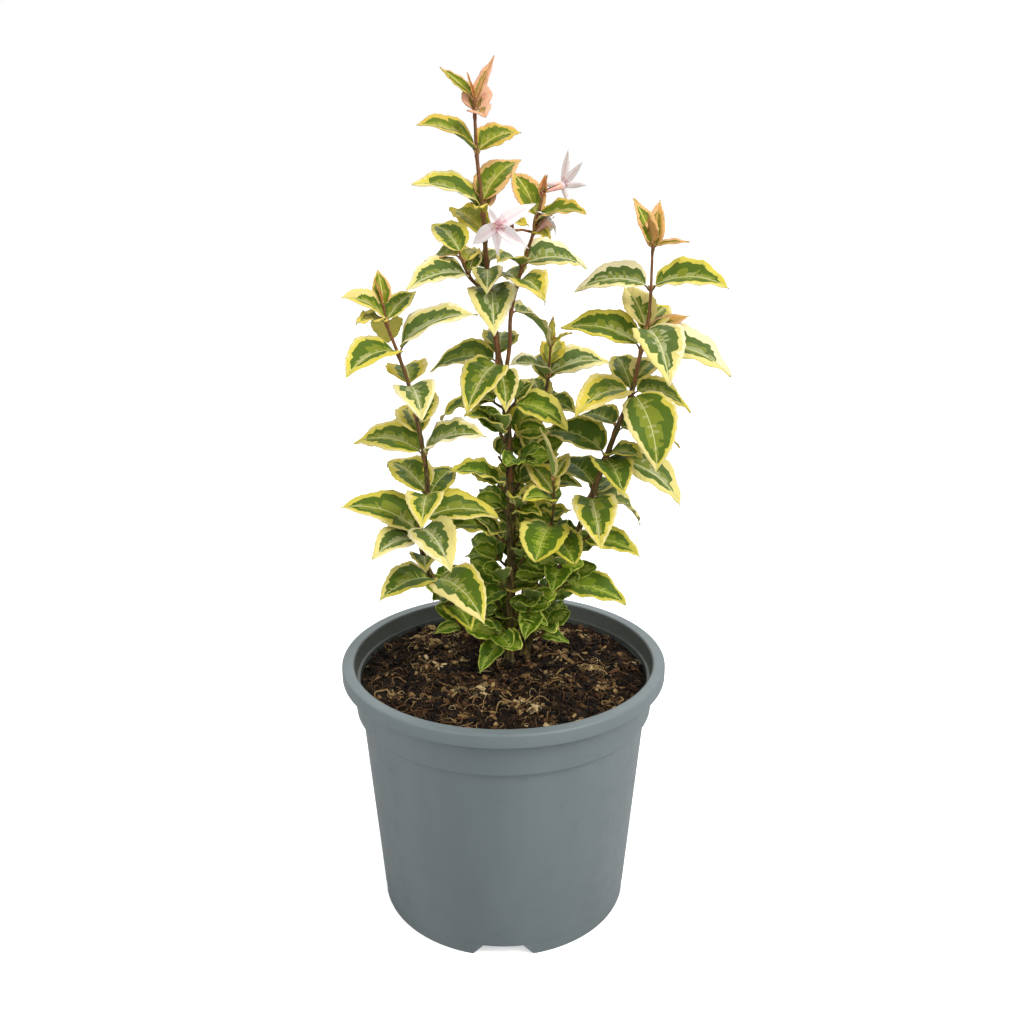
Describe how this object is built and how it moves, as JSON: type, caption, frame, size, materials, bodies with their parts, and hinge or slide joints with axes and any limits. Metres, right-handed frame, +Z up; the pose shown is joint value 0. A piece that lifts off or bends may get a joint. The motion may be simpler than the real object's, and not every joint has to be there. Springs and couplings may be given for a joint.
{
  "type": "potted variegated abelia shrub",
  "caption": "Young variegated shrub with slender upright stems, opposite pointed leaves and small starry blossoms, in a round nursery pot filled with compost.",
  "frame": {"origin": "centre of the pot's flat underside, on the ground", "axes": "+Z up; +X to the right and +Y to the back, as the plant is seen from the front"},
  "size_m": [0.1701, 0.15, 0.3796],
  "materials": {
    "pot_plastic": "satin grey",
    "compost": "damp, fibrous",
    "stem_bark": "smooth young bark",
    "foliage": "matt leaf"
  },
  "bodies": {
    "root": {"pot": "pot_plastic", "compost": "compost", "main_stem": "stem_bark", "left_stem": "stem_bark", "right_stem": "stem_bark", "middle_stem": "stem_bark", "flowering_foliage": "foliage", "leader_foliage": "foliage", "left_foliage": "foliage", "right_foliage": "foliage", "low_foliage": "foliage", "middle_foliage": "foliage", "main_shoot_01": "foliage", "main_shoot_02": "foliage", "main_shoot_03": "foliage", "main_shoot_04": "foliage", "main_shoot_05": "foliage", "main_shoot_06": "foliage", "main_shoot_07": "foliage", "main_shoot_08": "foliage", "main_shoot_09": "foliage", "main_shoot_11": "foliage", "main_shoot_12": "foliage", "main_shoot_13": "foliage", "main_shoot_14": "foliage", "main_shoot_15": "foliage", "main_shoot_16": "foliage", "main_shoot_17": "foliage", "main_shoot_19": "foliage", "main_shoot_20": "foliage", "right_shoot_01": "foliage", "right_shoot_03": "foliage", "right_shoot_05": "foliage", "right_shoot_07": "foliage", "right_shoot_08": "foliage", "right_shoot_09": "foliage", "right_shoot_10": "foliage", "left_shoot_01": "foliage", "left_shoot_02": "foliage", "left_shoot_03": "foliage", "left_shoot_04": "foliage"}
  },
  "joints": []
}
